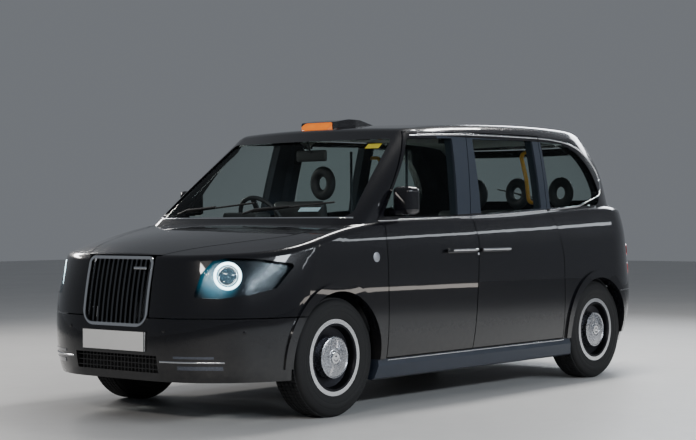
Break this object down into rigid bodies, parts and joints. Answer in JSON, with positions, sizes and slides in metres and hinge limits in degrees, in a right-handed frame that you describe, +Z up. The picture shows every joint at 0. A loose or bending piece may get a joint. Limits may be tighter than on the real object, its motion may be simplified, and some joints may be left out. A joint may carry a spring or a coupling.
{
  "type": "taxi cab",
  "caption": "Tall black taxi cab with an upright slatted grille, wide-opening rear-hinged rear doors and an amber roof sign.",
  "frame": {"origin": "on the road at the middle of the overall length and width", "axes": "+X towards the nose, +Y towards the cab's left, +Z up"},
  "size_m": [4.8555, 2.036, 1.8567],
  "materials": {
    "black_paint": "gloss black paint under clear lacquer",
    "gloss_black_plastic": "gloss moulding",
    "chrome_trim": "bright chrome",
    "black_plastic": "fine grain",
    "sill_plastic": "satin grey-black",
    "lamp_reflector": "bright reflector",
    "clear_lens": "clear polycarbonate",
    "red_lens": "red lens",
    "amber_lens": "amber lens",
    "plate_white": "blank reflective white",
    "clear_glass": "clear laminated glass",
    "side_glass": "lightly tinted glass",
    "wheel_paint": "dark metallic with bright machined ring",
    "tyre_rubber": "black rubber",
    "cast_iron": "bare casting",
    "steel": "black coated steel",
    "floor_paint": "black coated steel with a rubber mat",
    "seat_leather": "black leather cloth",
    "yellow_plastic": "high visibility yellow"
  },
  "bodies": {
    "cab": {"body_shell": "black_paint", "floor_pan": "floor_paint", "side_sills": "sill_plastic", "front_wings": "black_paint", "front_bumper": "black_paint", "rear_bumper": "black_paint", "grille": "chrome_trim", "lower_grille": "black_plastic", "headlamp_bowls": "lamp_reflector", "headlamp_covers": "clear_lens", "tail_lamps": "red_lens", "front_plate": "plate_white", "windscreen": "clear_glass", "quarter_glass": "side_glass", "roof_sign": "gloss_black_plastic", "sign_lens": "amber_lens", "dashboard": "black_plastic", "partition": "clear_glass", "driver_seat": "seat_leather", "rear_bench": "seat_leather", "folding_seats": "seat_leather", "grab_handles": "yellow_plastic", "engine_block": "cast_iron", "battery_pack": "steel", "front_suspension": "steel", "rear_axle": "steel"},
    "door_front_left": {"door_front_left": "black_paint", "glass_front_left": "side_glass", "mirror_left": "gloss_black_plastic"},
    "door_rear_left": {"door_rear_left": "black_paint", "glass_rear_left": "side_glass"},
    "knuckle_left": {"knuckle_left": "cast_iron"},
    "wheel_front_left": {"rim_front_left": "wheel_paint", "tyre_front_left": "tyre_rubber"},
    "wheel_rear_left": {"rim_rear_left": "wheel_paint", "tyre_rear_left": "tyre_rubber"},
    "door_front_right": {"door_front_right": "black_paint", "glass_front_right": "side_glass", "mirror_right": "gloss_black_plastic"},
    "door_rear_right": {"door_rear_right": "black_paint", "glass_rear_right": "side_glass"},
    "knuckle_right": {"knuckle_right": "cast_iron"},
    "wheel_front_right": {"rim_front_right": "wheel_paint", "tyre_front_right": "tyre_rubber"},
    "wheel_rear_right": {"rim_rear_right": "wheel_paint", "tyre_rear_right": "tyre_rubber"},
    "bonnet": {"bonnet": "black_paint"},
    "tailgate": {"tailgate": "black_paint", "tailgate_glass": "side_glass"},
    "steering_wheel": {"steering_wheel": "black_plastic"}
  },
  "joints": [
    {"name": "door_front_left_hinge", "type": "hinge", "parent": "cab", "child": "door_front_left", "pos_m": [1.0505, 0.942, 0.56], "axis": [0, 0.0262, -0.9997], "range_deg": [0, 65]},
    {"name": "door_rear_left_hinge", "type": "hinge", "parent": "cab", "child": "door_rear_left", "pos_m": [-1.0285, 0.942, 0.56], "axis": [0, -0.0262, 0.9997], "range_deg": [0, 88]},
    {"name": "door_front_right_hinge", "type": "hinge", "parent": "cab", "child": "door_front_right", "pos_m": [1.0505, -0.942, 0.56], "axis": [0, 0.0262, 0.9997], "range_deg": [0, 65]},
    {"name": "door_rear_right_hinge", "type": "hinge", "parent": "cab", "child": "door_rear_right", "pos_m": [-1.0285, -0.942, 0.56], "axis": [0, -0.0262, -0.9997], "range_deg": [0, 88]},
    {"name": "bonnet_hinge", "type": "hinge", "parent": "cab", "child": "bonnet", "pos_m": [1.28, 0, 1.138], "axis": [0, -1, 0], "range_deg": [0, 55]},
    {"name": "tailgate_hinge", "type": "hinge", "parent": "cab", "child": "tailgate", "pos_m": [-2.0025, 0, 1.726], "axis": [0, 1, 0], "range_deg": [0, 75]},
    {"name": "steer_left", "type": "hinge", "parent": "cab", "child": "knuckle_left", "pos_m": [1.4775, 0.76, 0.3555], "axis": [0, 0, 1], "range_deg": [-45, 45]},
    {"name": "spin_front_left", "type": "hinge", "parent": "knuckle_left", "child": "wheel_front_left", "pos_m": [1.4775, 0.805, 0.3555], "axis": [0, 1, 0], "continuous": true},
    {"name": "spin_rear_left", "type": "hinge", "parent": "cab", "child": "wheel_rear_left", "pos_m": [-1.5075, 0.805, 0.3555], "axis": [0, 1, 0], "continuous": true},
    {"name": "steer_right", "type": "hinge", "parent": "cab", "child": "knuckle_right", "pos_m": [1.4775, -0.76, 0.3555], "axis": [0, 0, 1], "range_deg": [-45, 45]},
    {"name": "spin_front_right", "type": "hinge", "parent": "knuckle_right", "child": "wheel_front_right", "pos_m": [1.4775, -0.805, 0.3555], "axis": [0, 1, 0], "continuous": true},
    {"name": "spin_rear_right", "type": "hinge", "parent": "cab", "child": "wheel_rear_right", "pos_m": [-1.5075, -0.805, 0.3555], "axis": [0, 1, 0], "continuous": true},
    {"name": "steering_wheel_turn", "type": "hinge", "parent": "cab", "child": "steering_wheel", "pos_m": [0.7075, -0.4, 1.17], "axis": [-0.866, 0, 0.5], "range_deg": [-460, 460]}
  ],
  "couplings": [
    {"joint": "steer_right", "follows": "steer_left", "ratio": 1},
    {"joint": "steering_wheel_turn", "follows": "steer_left", "ratio": 10}
  ]
}
